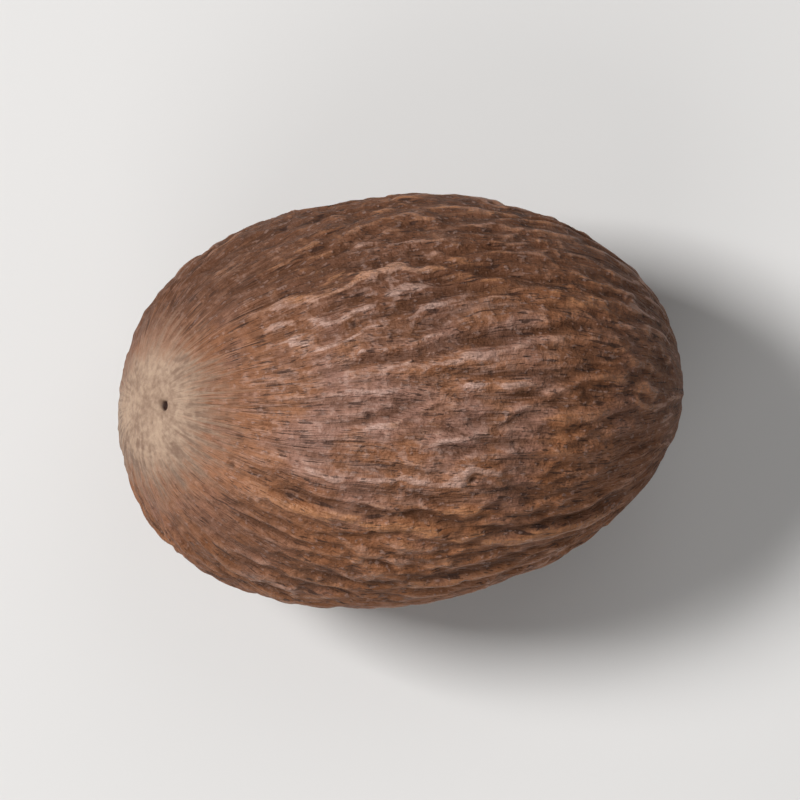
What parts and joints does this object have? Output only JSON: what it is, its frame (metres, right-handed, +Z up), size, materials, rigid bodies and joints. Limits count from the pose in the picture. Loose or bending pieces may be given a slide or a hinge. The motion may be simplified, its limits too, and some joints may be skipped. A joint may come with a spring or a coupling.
{
  "type": "whole nutmeg",
  "caption": "Whole dried nutmeg kernel lying on its side: an egg-shaped spice seed with wavy lengthwise furrows, a pale scar at the broad end and a small sunken spot at the other.",
  "frame": {"origin": "on the surface that the nutmeg lies on, below the middle of its bounding box", "axes": "+X runs along the kernel from the pale hilum end to the chalaza end, +Y across it, and +Z points up from the small flat that it rests on"},
  "size_m": [0.028, 0.02, 0.0191],
  "materials": {
    "nutmeg_kernel": "dry matt brown kernel with lighter ridges, darker furrows, fine dark flecks and a cream scar at one end"
  },
  "bodies": {
    "root": {"nutmeg": "nutmeg_kernel"}
  },
  "joints": []
}
